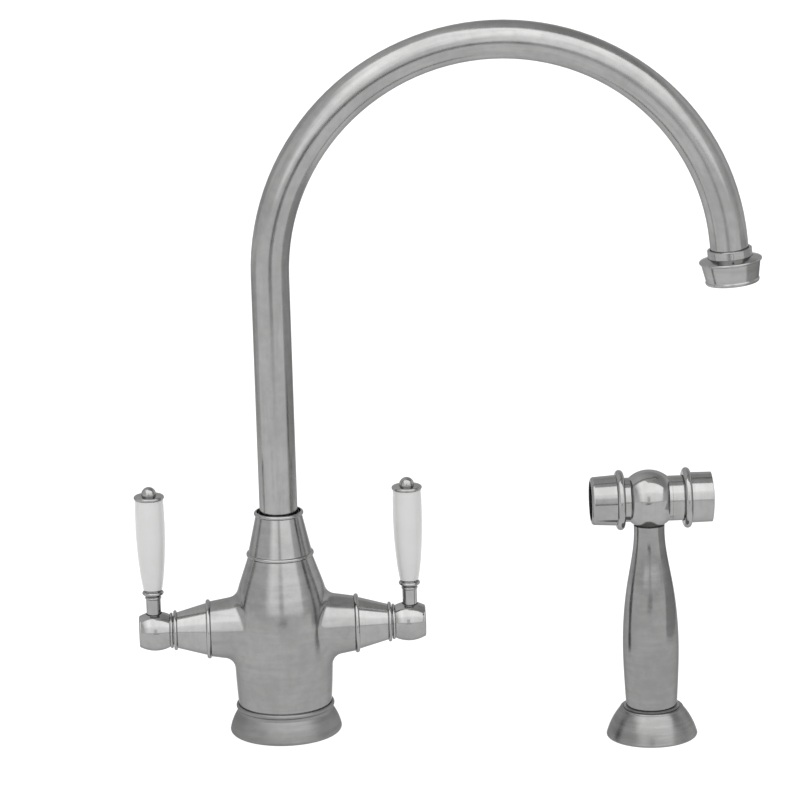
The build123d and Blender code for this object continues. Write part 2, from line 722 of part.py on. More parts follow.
for side, name in ((1, "right"), (-1, "left")):
    arm = Plane(origin=(0, 0, arm_height), x_dir=(side, 0, 0), z_dir=(0, -side, 0))
    across = Plane(origin=(0, 0, arm_height), x_dir=(0, 0, 1), z_dir=(side, 0, 0))
    arm_axis = Axis((0, 0, arm_height), (side, 0, 0))

    # rubber ring between the valve seat and the fixed disc
    cartridge_seal = flat_ring(
        across.offset(seat_reach), seal_outer_radius, seal_inner_radius, seal_thickness
    )
    save(cartridge_seal, f"{name}_cartridge_seal")

    # the two ceramic discs: their ports line up after a quarter turn of the lever
    with BuildPart() as fixed_disc:
        with BuildSketch(across.offset(disc_start)):
            Circle(disc_radius)
            with Locations((disc_port_offset, 0), (-disc_port_offset, 0)):
                Circle(disc_port_radius, mode=Mode.SUBTRACT)
        extrude(amount=disc_thickness)
    save(fixed_disc, f"{name}_fixed_disc")

    with BuildPart() as moving_disc:
        with BuildSketch(across.offset(moving_start)):
            Circle(disc_radius)
            with Locations((0, disc_port_offset), (0, -disc_port_offset)):
                Circle(disc_port_radius, mode=Mode.SUBTRACT)
        extrude(amount=disc_thickness)
        with BuildSketch(across.offset(flange_start - tang_height)):
            Rectangle(2 * disc_radius, tang_width + 2 * joint_fit)
        extrude(amount=tang_height, mode=Mode.SUBTRACT)
    save(moving_disc, f"{name}_moving_disc")

    # brass shell that holds the discs, with windows to the gallery and a head on the socket's end
    with BuildPart() as cartridge_shell:
        with BuildSketch(across.offset(disc_start)):
            Circle(shell_radius)
        extrude(amount=shell_head_start - disc_start)
        with BuildSketch(across.offset(shell_head_start)):
            Circle(valve_bore_radius - joint_fit)
        extrude(amount=shell_head_length)
        with BuildSketch(across.offset(shell_head_start)):
            Circle(shell_neck_radius)
        extrude(amount=shell_end - shell_head_start)
        with BuildSketch(across.offset(disc_start)):
            Circle(disc_radius + joint_fit)
        extrude(amount=shell_bore_end - disc_start, mode=Mode.SUBTRACT)
        with BuildSketch(across.offset(disc_start)):
            Circle(spindle_radius + running_fit)
        extrude(amount=shell_end - disc_start, mode=Mode.SUBTRACT)
        with BuildSketch(Plane.XZ, Plane.XY.offset(arm_height)):
            with Locations((side * (gallery_start + gallery_length / 2), 0)):
                Circle(window_radius)
        extrude(amount=valve_bore_radius, both=True, mode=Mode.SUBTRACT)
    save(cartridge_shell, f"{name}_cartridge_shell")

    with BuildPart() as spindle:
        with BuildSketch(across.offset(flange_start)):
            Circle(disc_radius)
        extrude(amount=spindle_flange)
        with BuildSketch(across.offset(flange_start - tang_height)):
            Rectangle(2 * spindle_radius, tang_width)
        extrude(amount=tang_height)
        with BuildSketch(across.offset(flange_end)):
            Circle(spindle_radius)
        extrude(amount=shell_end - flange_end)
        with BuildSketch(across.offset(shell_end)):
            Rectangle(drive_side, drive_side)
        extrude(amount=drive_end - shell_end)
    save(spindle, f"{name}_spindle")

    # conical bonnet with its two beads
    with BuildPart() as bonnet:
        with BuildSketch(arm):
            with BuildLine():
                shoulder_end = bonnet_start + bonnet_bead_width
                back = Line(
                    (bonnet_start, valve_bore_radius + joint_fit), (bonnet_start, bonnet_back_radius)
                )
                large_bead = ThreePointArc(
                    back @ 1,
                    ((bonnet_start + shoulder_end) / 2, bonnet_bead_radius),
                    (shoulder_end, bonnet_foot_radius),
                )
                cone = Line(large_bead @ 1, (bonnet_end - tip_bead_width, bonnet_tip_radius))
                small_bead = ThreePointArc(
                    cone @ 1,
                    (bonnet_end - tip_bead_width / 2, tip_bead_radius),
                    (bonnet_end, bonnet_tip_radius),
                )
                Polyline(
                    small_bead @ 1,
                    (bonnet_end, nose_radius),
                    (bonnet_end + nose_length, nose_radius),
                    (bonnet_end + nose_length, shell_neck_radius + joint_fit),
                    (bonnet_start + bonnet_bore_depth, shell_neck_radius + joint_fit),
                    (bonnet_start + bonnet_bore_depth, valve_bore_radius + joint_fit),
                    back @ 0,
                )
            make_face()
        revolve(axis=arm_axis)
    save(bonnet, f"{name}_bonnet")

    # lever hub, a small barrel on the spindle's square end
    stem = Plane(origin=(side * lever_reach, 0, arm_height), x_dir=(1, 0, 0), z_dir=(0, 0, 1))
    stem_profile = Plane(origin=(side * lever_reach, 0, arm_height), x_dir=(1, 0, 0), z_dir=(0, -1, 0))
    stem_axis = Axis((side * lever_reach, 0, arm_height), (0, 0, 1))
    screw = Plane(origin=(side * hub_screw_reach, 0, arm_height), x_dir=(1, 0, 0), z_dir=(0, 0, -1))

    with BuildPart() as hub:
        with BuildSketch(arm):
            with BuildLine():
                face_line = Line((hub_start, 0), (hub_start, hub_waist_radius))
                hub_bead = ThreePointArc(
                    face_line @ 1,
                    (hub_start + hub_bead_width / 2, hub_bead_radius),
                    (hub_start + hub_bead_width, hub_waist_radius),
                )
                barrel = ThreePointArc(
                    hub_bead @ 1, (lever_reach, hub_radius), (hub_end - hub_edge, hub_end_radius)
                )
                edge = RadiusArc(barrel @ 1, (hub_end, hub_end_radius - hub_edge), hub_edge)
                Polyline(edge @ 1, (hub_end, 0), face_line @ 0)
            make_face()
        revolve(axis=arm_axis)
        with BuildSketch(across.offset(hub_start)):
            Circle(nose_radius + moving_gap)
        extrude(amount=nose_length - hub_gap + moving_gap, mode=Mode.SUBTRACT)
        with BuildSketch(across.offset(hub_start)):
            Rectangle(drive_side + 2 * joint_fit, drive_side + 2 * joint_fit)
        extrude(amount=drive_end + moving_gap - hub_start, mode=Mode.SUBTRACT)
        with BuildSketch(stem.offset(lever_seat)):
            Circle(stem_radius + seat_gap)
        extrude(amount=hub_radius, mode=Mode.SUBTRACT)
        with BuildSketch(stem.offset(lever_seat - lever_spigot_length)):
            Circle(lever_spigot_radius + joint_fit)
        extrude(amount=hub_radius, mode=Mode.SUBTRACT)
        with BuildSketch(screw):
            Circle(hub_screw_radius + joint_fit)
        extrude(amount=hub_radius, mode=Mode.SUBTRACT)
    save(hub, f"{name}_hub")

    with BuildPart() as hub_screw:
        with BuildSketch(screw.offset(drive_side / 2)):
            Circle(hub_screw_radius)
        extrude(amount=hub_screw_length)
        with BuildSketch(screw.offset(drive_side / 2 + hub_screw_length)):
            RegularPolygon(hub_screw_socket, 6)
        extrude(amount=-hub_screw_length / 2, mode=Mode.SUBTRACT)
    save(hub_screw, f"{name}_hub_screw")

    # turned lever stem, with the rod that runs up through the grip
    stem_top = stem_bead_height + stem_bead_width / 2 + stem_lip
    grip_foot = stem_top + grip_washer_thickness
    grip_top = grip_foot + grip_length
    with BuildPart() as lever_stem:
        with BuildSketch(stem_profile):
            with BuildLine():
                spigot = Polyline(
                    (0, lever_seat - lever_spigot_length),
                    (lever_spigot_radius, lever_seat - lever_spigot_length),
                    (lever_spigot_radius, lever_seat),
                    (stem_radius - stem_edge, lever_seat),
                )
                foot_edge = RadiusArc(spigot @ 1, (stem_radius, lever_seat + stem_edge), -stem_edge)
                shank = Line(foot_edge @ 1, (stem_radius, stem_ring_height - stem_ring_width / 2))
                small_ring = ThreePointArc(
                    shank @ 1,
                    (stem_ring_radius, stem_ring_height),
                    (stem_radius, stem_ring_height + stem_ring_width / 2),
                )
                throat = Line(small_ring @ 1, (stem_seat_radius, stem_bead_height - stem_bead_width / 2))
                bead = ThreePointArc(
                    throat @ 1,
                    (stem_bead_radius, stem_bead_height),
                    (stem_seat_radius, stem_bead_height + stem_bead_width / 2),
                )
                Polyline(
                    bead @ 1,
                    (stem_seat_radius, stem_top),
                    (tie_rod_radius, stem_top),
                    (tie_rod_radius, grip_top + tie_rod_engagement),
                    (0, grip_top + tie_rod_engagement),
                    spigot @ 0,
                )
            make_face()
        revolve(axis=stem_axis)
    save(lever_stem, f"{name}_lever_stem")

    grip_washer = flat_ring(
        stem.offset(stem_top), stem_seat_radius, tie_rod_radius + joint_fit, grip_washer_thickness
    )
    save(grip_washer, f"{name}_grip_washer")

    with BuildPart() as grip:
        with BuildSketch(stem_profile):
            with BuildLine():
                foot_line = Line((tie_rod_radius + moving_gap, grip_foot), (grip_foot_radius, grip_foot))
                swell = Spline(
                    foot_line @ 1,
                    (grip_low_radius, grip_foot + grip_low_height),
                    (grip_mid_radius, grip_foot + grip_mid_height),
                    (grip_full_radius, grip_foot + grip_full_height),
                    (grip_top_radius, grip_top),
                )
                Polyline(swell @ 1, (tie_rod_radius + moving_gap, grip_top), foot_line @ 0)
            make_face()
        revolve(axis=stem_axis)
    save(grip, f"{name}_grip")

    with BuildPart() as finial:
        with BuildSketch(stem_profile):
            with BuildLine():
                under = Line((0, grip_top), (cap_radius - cap_edge, grip_top))
                rim = ThreePointArc(
                    under @ 1,
                    (cap_radius, grip_top + cap_thickness / 2),
                    (cap_radius - cap_edge, grip_top + cap_thickness),
                )
                crest = Polyline(
                    rim @ 1,
                    (finial_radius, grip_top + cap_thickness + cap_rise),
                    (finial_radius, grip_top + finial_rise - finial_radius),
                )
                dome = RadiusArc(crest @ 1, (0, grip_top + finial_rise), -finial_radius)
                Line(dome @ 1, under @ 0)
            make_face()
        revolve(axis=stem_axis)
        with BuildSketch(stem.offset(grip_top)):
            Circle(tie_rod_radius + joint_fit)
        extrude(amount=tie_rod_engagement + joint_fit, mode=Mode.SUBTRACT)
    save(finial, f"{name}_finial")

# ================================================================ spray holder
spray = Plane(origin=(spray_x, spray_y, 0), x_dir=(1, 0, 0), z_dir=(0, 0, 1))
spray_profile = Plane(origin=(spray_x, spray_y, 0), x_dir=(1, 0, 0), z_dir=(0, -1, 0))
spray_axis = Axis((spray_x, spray_y, 0), (0, 0, 1))
guide_seat = holder_throat_height + holder_ledge
handle_start = holder_height + guide_flange + moving_gap
handle_end = handle_start + handle_length

with BuildPart() as holder_flange:
    with BuildSketch(spray_profile):
        with BuildLine():
            under = Line((holder_throat_radius, 0), (holder_radius - holder_edge, 0))
            edge = RadiusArc(under @ 1, (holder_radius, holder_edge), -holder_edge)
            dome = RadiusArc(edge @ 1, (holder_lip_radius, holder_height - holder_lip), -holder_dome)
            lip = RadiusArc(dome @ 1, (holder_lip_radius - holder_lip, holder_height), -holder_lip)
            Polyline(
                lip @ 1,
                (holder_mouth_radius, holder_height),
                (holder_mouth_radius, guide_seat),
                (guide_bore_radius, guide_seat),
                (guide_bore_radius, holder_throat_height),
                (holder_throat_radius, holder_throat_height),
                under @ 0,
            )
        make_face()
    revolve(axis=spray_axis)
    with BuildSketch(spray):
        Circle(holder_gasket_outer + joint_fit)
        Circle(holder_gasket_inner - joint_fit, mode=Mode.SUBTRACT)
    extrude(amount=holder_gasket_thickness, mode=Mode.SUBTRACT)
save(holder_flange, "holder_flange")

holder_gasket = flat_ring(spray, holder_gasket_outer, holder_gasket_inner, holder_gasket_thickness)
save(holder_gasket, "holder_gasket")

holder_guide = flat_ring(
    spray.offset(guide_seat),
    holder_mouth_radius - joint_fit,
    guide_bore_radius,
    holder_height + guide_flange - guide_seat,
)
save(holder_guide, "holder_guide")

# ================================================================ hose coupling
coupling_start = holder_throat_height + coupling_lift
coupling_end = coupling_start + coupling_length
coupling_groove = coupling_radius - coupling_seal_section

with BuildPart() as hose_coupling:
    with BuildSketch(spray.offset(coupling_start)):
        Circle(coupling_radius)
    extrude(amount=coupling_length)
    with BuildSketch(spray.offset(coupling_start)):
        Circle(coupling_bore_radius)
    extrude(amount=coupling_length, mode=Mode.SUBTRACT)
    with BuildSketch(spray.offset(coupling_start)):
        Circle(coupling_port_radius)
    extrude(amount=coupling_port_depth, mode=Mode.SUBTRACT)
    with BuildSketch(spray.offset(coupling_seal_height - coupling_seal_section / 2)):
        Circle(coupling_radius)
        Circle(coupling_groove, mode=Mode.SUBTRACT)
    extrude(amount=coupling_seal_section, mode=Mode.SUBTRACT)
    with BuildSketch(spray.offset(clip_height)):
        Circle(coupling_radius)
        Circle(coupling_radius - clip_depth, mode=Mode.SUBTRACT)
    extrude(amount=clip_thickness + 2 * joint_fit, mode=Mode.SUBTRACT)
save(hose_coupling, "hose_coupling")

with BuildPart() as coupling_seal:
    with BuildSketch(spray_profile):
        with Locations((coupling_groove + coupling_seal_section / 2, coupling_seal_height)):
            RegularPolygon((coupling_seal_section - joint_fit) / 2, seal_sides)
    revolve(axis=spray_axis)
save(coupling_seal, "coupling_seal")

# split spring clip that holds the coupling in the handle and lets the handle turn on it
coupling_bore = coupling_radius + running_fit
with BuildPart() as coupling_clip:
    with BuildSketch(spray.offset(clip_height + joint_fit)):
        Circle(coupling_bore + clip_depth - joint_fit)
        Circle(coupling_radius - clip_depth + joint_fit, mode=Mode.SUBTRACT)
        with Locations((0, coupling_radius)):
            Rectangle(clip_opening, 2 * coupling_radius, mode=Mode.SUBTRACT)
    extrude(amount=clip_thickness)
save(coupling_clip, "coupling_clip")

# ================================================================ spray handle
with BuildPart() as spray_handle:
    with BuildSketch(spray_profile):
        with BuildLine():
            spigot = Polyline(
                (0, handle_start - handle_spigot_length),
                (handle_spigot_radius, handle_start - handle_spigot_length),
                (handle_spigot_radius, handle_start),
                (handle_foot_radius - handle_foot_edge, handle_start),
            )
            foot_edge = RadiusArc(
                spigot @ 1, (handle_foot_radius, handle_start + handle_foot_edge), -handle_foot_edge
            )
            swell = Spline(
                foot_edge @ 1,
                (handle_heel_radius, handle_start + handle_heel_rise),
                (handle_belly_radius, handle_start + handle_belly_rise),
                (handle_shoulder_radius, handle_end - handle_shoulder_drop),
                (handle_waist_radius, handle_end - handle_waist_drop),
                (handle_waist_radius, handle_end),
            )
            Polyline(swell @ 1, (0, handle_end), spigot @ 0)
        make_face()
    revolve(axis=spray_axis)
    with BuildSketch(spray.offset(handle_start - handle_spigot_length)):
        Circle(coupling_bore)
    extrude(amount=coupling_end + moving_gap - handle_start + handle_spigot_length, mode=Mode.SUBTRACT)
    with BuildSketch(spray.offset(clip_height)):
        Circle(coupling_bore + clip_depth)
    extrude(amount=clip_thickness + 2 * joint_fit, mode=Mode.SUBTRACT)
    with BuildSketch(spray.offset(coupling_end)):
        Circle(handle_bore_radius)
    extrude(amount=handle_end - handle_thread_length - coupling_end, mode=Mode.SUBTRACT)
    with BuildSketch(spray.offset(coupling_end)):
        Circle(handle_thread_radius + joint_fit)
    extrude(amount=handle_end - coupling_end, mode=Mode.SUBTRACT)
save(spray_handle, "spray_handle")

# ================================================================ spray head
head_height = handle_end + head_rise
head = Plane(origin=(spray_x, spray_y, head_height), x_dir=(1, 0, 0), z_dir=(0, -1, 0))
head_axis = Axis((spray_x, spray_y, head_height), (1, 0, 0))
head_across = Plane(origin=(spray_x, spray_y, head_height), x_dir=(0, 1, 0), z_dir=(1, 0, 0))

with BuildPart() as spray_head:
    with BuildSketch(head):
        with BuildLine():
            rose_end = -rose_neck_reach - rose_thread_length
            left = Polyline(
                (rose_end, 0),
                (rose_end, rose_thread_radius),
                (-rose_neck_reach, rose_thread_radius),
                (-rose_neck_reach, rose_neck_radius),
                (-((ball_radius**2 - rose_neck_radius**2) ** 0.5), rose_neck_radius),
            )
            ball_end = (ball_radius**2 - sleeve_seat_radius**2) ** 0.5
            ball = ThreePointArc(left @ 1, (0, ball_radius), (ball_end, sleeve_seat_radius))
            Polyline(ball @ 1, (sleeve_seat_reach, sleeve_seat_radius), (sleeve_seat_reach, 0), left @ 0)
        make_face()
    revolve(axis=head_axis)
    # flat under the ball, on which the handle is screwed home, and the thread that enters the handle
    with BuildSketch(spray.offset(handle_end + head_seal_thickness)):
        Circle(ball_radius)
    extrude(amount=-ball_radius, mode=Mode.SUBTRACT)
    with BuildSketch(spray.offset(handle_end - handle_thread_length)):
        Circle(handle_thread_radius)
    extrude(amount=handle_thread_length + head_seal_thickness)
    # bores along the head's axis and the way up from the handle
    with BuildSketch(head_across.offset(-head_seat_reach)):
        Circle(head_bore_radius)
    extrude(amount=head_seat_reach + sleeve_seat_reach, mode=Mode.SUBTRACT)
    with BuildSketch(head_across.offset(sleeve_seat_reach)):
        Circle(sleeve_thread_radius + joint_fit)
    extrude(amount=-sleeve_thread_length, mode=Mode.SUBTRACT)
    with BuildSketch(head_across.offset(-head_seat_reach)):
        Circle(head_seat_radius)
    extrude(amount=-head_seat_thickness, mode=Mode.SUBTRACT)
    with BuildSketch(head_across.offset(-rose_neck_reach - rose_thread_length)):
        Circle(rose_chamber_radius)
    chamber_start = head_seat_reach + head_seat_thickness
    extrude(amount=rose_neck_reach + rose_thread_length - chamber_start, mode=Mode.SUBTRACT)
    way_start = handle_end - handle_thread_length
    with BuildSketch(spray.offset(way_start)):
        Circle(head_way_radius)
    extrude(amount=head_height - head_bore_radius / 2 - way_start, mode=Mode.SUBTRACT)
save(spray_head, "spray_head")

head_seal = flat_ring(
    spray.offset(handle_end),
    handle_waist_radius - head_seal_inset,
    handle_thread_radius + joint_fit,
    head_seal_thickness,
)
save(head_seal, "head_seal")

# ================================================================ rose
face_end = rose_reach - face_recess
face_start = face_end - face_thickness
rose_seal_start = rose_neck_reach + rose_thread_length

with BuildPart() as rose_cup:
    with BuildSketch(head):
        with BuildLine():
            back = Line(
                (-rose_neck_reach, rose_thread_radius + joint_fit), (-rose_neck_reach, rose_root_radius)
            )
            rose_bead = ThreePointArc(
                back @ 1,
                (-rose_neck_reach - rose_bead_width / 2, rose_bead_radius),
                (-rose_neck_reach - rose_bead_width, rose_root_radius),
            )
            barrel = Line(rose_bead @ 1, (-rose_reach + rose_edge, rose_rim_radius))
            rim = RadiusArc(barrel @ 1, (-rose_reach, rose_rim_radius - rose_edge), -rose_edge)
            mouth_radius = rose_rim_radius - rose_wall
            Polyline(
                rim @ 1,
                (-rose_reach, mouth_radius),
                (-face_start, mouth_radius),
                (-face_start, rose_thread_radius + joint_fit),
                back @ 0,
            )
        make_face()
    revolve(axis=head_axis)
save(rose_cup, "rose_cup")

rose_seal = flat_ring(
    head_across.offset(-rose_seal_start), rose_thread_radius, rose_chamber_radius, -rose_seal_thickness
)
save(rose_seal, "rose_seal")

with BuildPart() as rose_face:
    with BuildSketch(head_across.offset(-face_start)):
        Circle(rose_rim_radius - rose_wall - joint_fit)
        Circle(face_hole_radius, mode=Mode.SUBTRACT)
        for turn in (1, 2):
            with PolarLocations(turn * face_ring_pitch, 6 * turn):
                Circle(face_hole_radius, mode=Mode.SUBTRACT)
    extrude(amount=-face_thickness)
save(rose_face, "rose_face")

# ================================================================ push button and spray valve
button_inside = button_end - button_top
valve_sleeve_end = button_inside - button_travel - button_spare

with BuildPart() as valve_sleeve:
    with BuildSketch(head_across.offset(sleeve_seat_reach)):
        Circle(sleeve_seat_radius)
    extrude(amount=valve_sleeve_end - sleeve_seat_reach)
    with BuildSketch(head_across.offset(sleeve_seat_reach)):
        Circle(sleeve_thread_radius)
    extrude(amount=-sleeve_thread_length)
    with BuildSketch(head_across.offset(spring_floor)):
        Circle(spring_chamber_radius)
    extrude(amount=valve_sleeve_end - spring_floor, mode=Mode.SUBTRACT)
    with BuildSketch(head_across.offset(sleeve_seat_reach - sleeve_thread_length)):
        Circle(stem_rod_radius + running_fit)
    extrude(amount=valve_sleeve_end, mode=Mode.SUBTRACT)
save(valve_sleeve, "valve_sleeve")

with BuildPart() as spray_button:
    with BuildSketch(head):
        with BuildLine():
            mouth = Line(
                (button_start, sleeve_seat_radius + moving_gap), (button_start, button_root_radius)
            )
            button_bead = ThreePointArc(
                mouth @ 1,
                (button_start + button_bead_width / 2, button_bead_radius),
                (button_start + button_bead_width, button_root_radius),
            )
            barrel = Line(button_bead @ 1, (button_end - button_crown, button_rim_radius))
            crown_radius = (button_rim_radius**2 + button_crown**2) / (2 * button_crown)
            crown = RadiusArc(barrel @ 1, (button_end, 0), crown_radius)
            Polyline(
                crown @ 1,
                (button_inside - button_boss_length, 0),
                (button_inside - button_boss_length, button_boss_radius),
                (button_inside, button_boss_radius),
                (button_inside, sleeve_seat_radius + moving_gap),
                mouth @ 0,
            )
        make_face()
    revolve(axis=head_axis)
    with BuildSketch(head_across.offset(button_inside - button_boss_length)):
        Circle(stem_rod_radius + joint_fit)
    extrude(amount=button_boss_length, mode=Mode.SUBTRACT)
save(spray_button, "spray_button")

pad_start = -head_seat_reach - head_seat_thickness - lapped_gap
with BuildPart() as valve_stem:
    with BuildSketch(head_across.offset(pad_start - valve_pad_thickness)):
        Circle(stem_rod_radius)
    extrude(amount=button_inside - pad_start + valve_pad_thickness)
    with BuildSketch(head_across.offset(pad_start - valve_pad_thickness)):
        Circle(valve_head_radius)
    extrude(amount=-valve_head_thickness)
save(valve_stem, "valve_stem")

valve_pad = flat_ring(
    head_across.offset(pad_start), valve_pad_radius, stem_rod_radius + joint_fit, -valve_pad_thickness
)
save(valve_pad, "valve_pad")

button_spring = coil_spring(
    head_across,
    spring_floor,
    button_inside - spring_floor,
    (button_boss_radius + spring_chamber_radius) / 2,
    button_wire,
    button_coils,
)
save(button_spring, "button_spring")
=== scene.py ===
from math import cos, pi, radians, sin

import bpy
from mathutils import Matrix, Vector


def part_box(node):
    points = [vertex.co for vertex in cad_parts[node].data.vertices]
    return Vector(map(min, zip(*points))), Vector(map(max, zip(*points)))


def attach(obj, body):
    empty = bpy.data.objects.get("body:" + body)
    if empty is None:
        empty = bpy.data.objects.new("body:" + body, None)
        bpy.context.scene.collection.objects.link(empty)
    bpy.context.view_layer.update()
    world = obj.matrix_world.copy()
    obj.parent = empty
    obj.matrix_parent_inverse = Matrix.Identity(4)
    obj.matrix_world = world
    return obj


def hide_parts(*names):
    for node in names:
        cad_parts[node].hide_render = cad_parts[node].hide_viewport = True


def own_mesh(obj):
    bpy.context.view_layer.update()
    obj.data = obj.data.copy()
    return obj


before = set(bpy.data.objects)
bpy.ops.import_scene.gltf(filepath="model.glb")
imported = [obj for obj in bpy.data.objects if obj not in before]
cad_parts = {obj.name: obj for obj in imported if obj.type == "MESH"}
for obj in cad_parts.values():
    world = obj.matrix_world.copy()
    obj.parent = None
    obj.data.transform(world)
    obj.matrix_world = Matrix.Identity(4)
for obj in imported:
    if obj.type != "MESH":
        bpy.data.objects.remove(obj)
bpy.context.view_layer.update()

# ---------------------------------------------------------------- camera
# Stands two metres in front of the faucet and a little to its left, at the height from which the
# photograph was taken, with a long lens. Its pan, tilt and roll are in radians.
camera_place = Vector((-0.0150, -1.9227, 0.6461))
camera_pan = 0.0401
camera_tilt = 0.2431
camera_roll = -0.0288
camera_lens = 179.98

ahead = Vector((sin(camera_pan) * cos(camera_tilt), cos(camera_pan) * cos(camera_tilt), -sin(camera_tilt)))
level = Vector((cos(camera_pan), -sin(camera_pan), 0))
upward = level.cross(ahead)
camera_x = cos(camera_roll) * level + sin(camera_roll) * upward
camera_y = cos(camera_roll) * upward - sin(camera_roll) * level
camera_data = bpy.data.cameras.new("camera")
camera_data.lens = camera_lens
camera_data.sensor_width = 36
camera_data.clip_end = 20
camera = bpy.data.objects.new("camera", camera_data)
facing = Matrix((camera_x, camera_y, -ahead)).transposed().to_4x4()
camera.matrix_world = Matrix.Translation(camera_place) @ facing
scene = bpy.context.scene
scene.collection.objects.link(camera)
scene.camera = camera

# ---------------------------------------------------------------- studio
# A white floor and background, a large soft box that arches over in front, brighter overhead, with a
# narrow gap low down, and grey cards on the floor round about. The camera sees neither box nor cards.
scene.view_settings.view_transform = "Standard"
white = (1, 1, 1, 1)


def connect(tree, source, target):
    """Joins two sockets, or sets the target where the source is a plain value."""
    if isinstance(source, bpy.types.NodeSocket):
        tree.links.new(source, target)
    else:
        target.default_value = source


def add_node(tree, kind, **inputs):
    """Adds a node. Arguments name its settings, or its sockets, which in_0 and so on give by number."""
    made = tree.nodes.new(kind)
    for name, value in inputs.items():
        if name.startswith("in_"):
            connect(tree, value, made.inputs[int(name[3:])])
        elif hasattr(made, name):
            setattr(made, name, value)
        else:
            connect(tree, value, made.inputs[name.replace("_", " ")])
    return made


def calc(tree, operation, first, second=0.0, third=0.0):
    """A number worked out from up to three others."""
    made = add_node(tree, "ShaderNodeMath", operation=operation, in_0=first, in_1=second, in_2=third)
    return made.outputs[0]


def product(tree, first, *others):
    """Numbers multiplied together."""
    for other in others:
        first = calc(tree, "MULTIPLY", first, other)
    return first


def fade(tree, value, start, end, low=0.0, high=1.0):
    """Goes smoothly from low to high as the value goes from start to end."""
    made = add_node(
        tree, "ShaderNodeMapRange", interpolation_type="SMOOTHSTEP", in_0=value, in_1=start, in_2=end,
        in_3=low, in_4=high,
    )
    return made.outputs[0]


def mix(tree, share, low, high):
    """The number that lies between two others at a share from 0 to 1."""
    return add_node(tree, "ShaderNodeMix", Factor=share, in_2=low, in_3=high).outputs[0]


def parts(tree, vector):
    """The three numbers of a vector."""
    return add_node(tree, "ShaderNodeSeparateXYZ", Vector=vector).outputs


def own_place(tree):
    """The place on the piece that has the material."""
    return add_node(tree, "ShaderNodeTexCoord").outputs["Object"]


def grey_ramp(tree, share, stops):
    """Follows the given (place, grey) stops as share goes from 0 to 1."""
    made = add_node(tree, "ShaderNodeValToRGB", Fac=share)
    first, *between, last = stops
    for element, (place, grey) in zip(made.color_ramp.elements, (first, last)):
        element.position = place
        element.color = (grey, grey, grey, 1)
    for place, grey in between:
        made.color_ramp.elements.new(place).color = (grey, grey, grey, 1)
    return made.outputs[0]


def empty_material(name):
    """A new material with nothing in its tree."""
    material = bpy.data.materials.new(name)
    material.use_nodes = True
    material.node_tree.nodes.clear()
    return material, material.node_tree


def end_material(tree, shader):
    """Gives a material's tree its surface."""
    add_node(tree, "ShaderNodeOutputMaterial", Surface=shader.outputs[0])


def seen_directly(tree):
    """1 for what the camera sees, also in metal and through glass, and 0 for the light that it sheds."""
    path = add_node(tree, "ShaderNodeLightPath").outputs
    mirrored = calc(tree, "MAXIMUM", path["Is Glossy Ray"], path["Is Transmission Ray"])
    return calc(tree, "MAXIMUM", path["Is Camera Ray"], mirrored)


def add_sheet(name, points, faces, material):
    """Puts a sheet in the studio. It is no part of the faucet."""
    mesh = bpy.data.meshes.new(name)
    mesh.from_pydata(points, [], faces)
    mesh.materials.append(material)
    sheet = bpy.data.objects.new(name, mesh)
    scene.collection.objects.link(sheet)
    return sheet


def leave_only_mirrored(sheet):
    """Lets a sheet show in metal and nowhere else."""
    sheet.visible_camera = False
    sheet.visible_diffuse = False
    sheet.visible_shadow = False


def glow(tree, strength):
    """White light of a thing's own."""
    return add_node(tree, "ShaderNodeEmission", Color=white, Strength=strength)


def paper(tree, shade, own_light):
    """Paper of a grey shade that may glow a little as well."""
    lit = add_node(tree, "ShaderNodeBsdfDiffuse", Color=(shade, shade, shade, 1))
    glowing = glow(tree, own_light)
    return add_node(tree, "ShaderNodeAddShader", in_0=lit.outputs[0], in_1=glowing.outputs[0]).outputs[0]


# the floor: grey in the light that it throws back at the faucet, and to the eye near white, with the
# faucet's shadow on it
floor_reach = 4.0
floor_corners = [(x * floor_reach, y * floor_reach, 0) for x, y in ((-1, -1), (1, -1), (1, 1), (-1, 1))]
floor_material, tree = empty_material("studio_floor")
throwing = paper(tree, shade=0.50, own_light=0.0)
looked_at = paper(tree, shade=0.22, own_light=0.93)
mixed = add_node(tree, "ShaderNodeMixShader", in_0=seen_directly(tree), in_1=throwing, in_2=looked_at)
end_material(tree, mixed)
add_sheet("floor", floor_corners, [(0, 1, 2, 3)], floor_material)

# the cards, each with its brightness and its corners on the floor
card_height = 0.002
cards = (
    ("front_card", 0.25, ((-0.20, -0.95), (-0.40, -3.25), (0.66, -3.25), (0.13, -0.95))),
    ("right_card", 0.62, ((0.38, -0.15), (3, -1), (3, 0.9), (0.38, 0.9))),
    ("left_card", 0.82, ((-0.45, 0.9), (-3, 0.9), (-3, 0), (-0.45, 0.1))),
)
for name, brightness, corners in cards:
    board, tree = empty_material(name)
    end_material(tree, glow(tree, brightness))
    card = add_sheet(name, [(x, y, card_height) for x, y in corners], [(0, 1, 2, 3)], board)
    leave_only_mirrored(card)

# the room: metal mirrors walls of uneven grey, given from the back round by the left, the front and the
# right, and a ceiling that is darker on the right; its light falls on the faucet from all sides, most of
# it from above and in front; the camera sees it white
wall_greys = (
    (0.0, 1.0), (0.08, 0.9), (0.178, 0.64), (0.198, 0.88), (0.33, 0.91), (0.67, 0.88), (0.72, 0.73),
    (0.76, 0.65), (0.79, 0.85), (0.82, 1.0), (0.90, 0.9), (1.0, 1.0),
)
wall_bright = 1.1
wall_top, ceiling_edge = 0.38, 0.67
ceiling_left, ceiling_right = 0.9, 0.5
ceiling_reach = 0.5
least_light, most_light = 0.6, 1.35
light_reach = 1.4
world = bpy.data.worlds.new("studio")
scene.world = world
world.use_nodes = True
tree = world.node_tree
tree.nodes.clear()
way = parts(tree, add_node(tree, "ShaderNodeTexCoord").outputs["Generated"])
heading = calc(tree, "ARCTAN2", way[0], product(tree, way[1], -1.0))
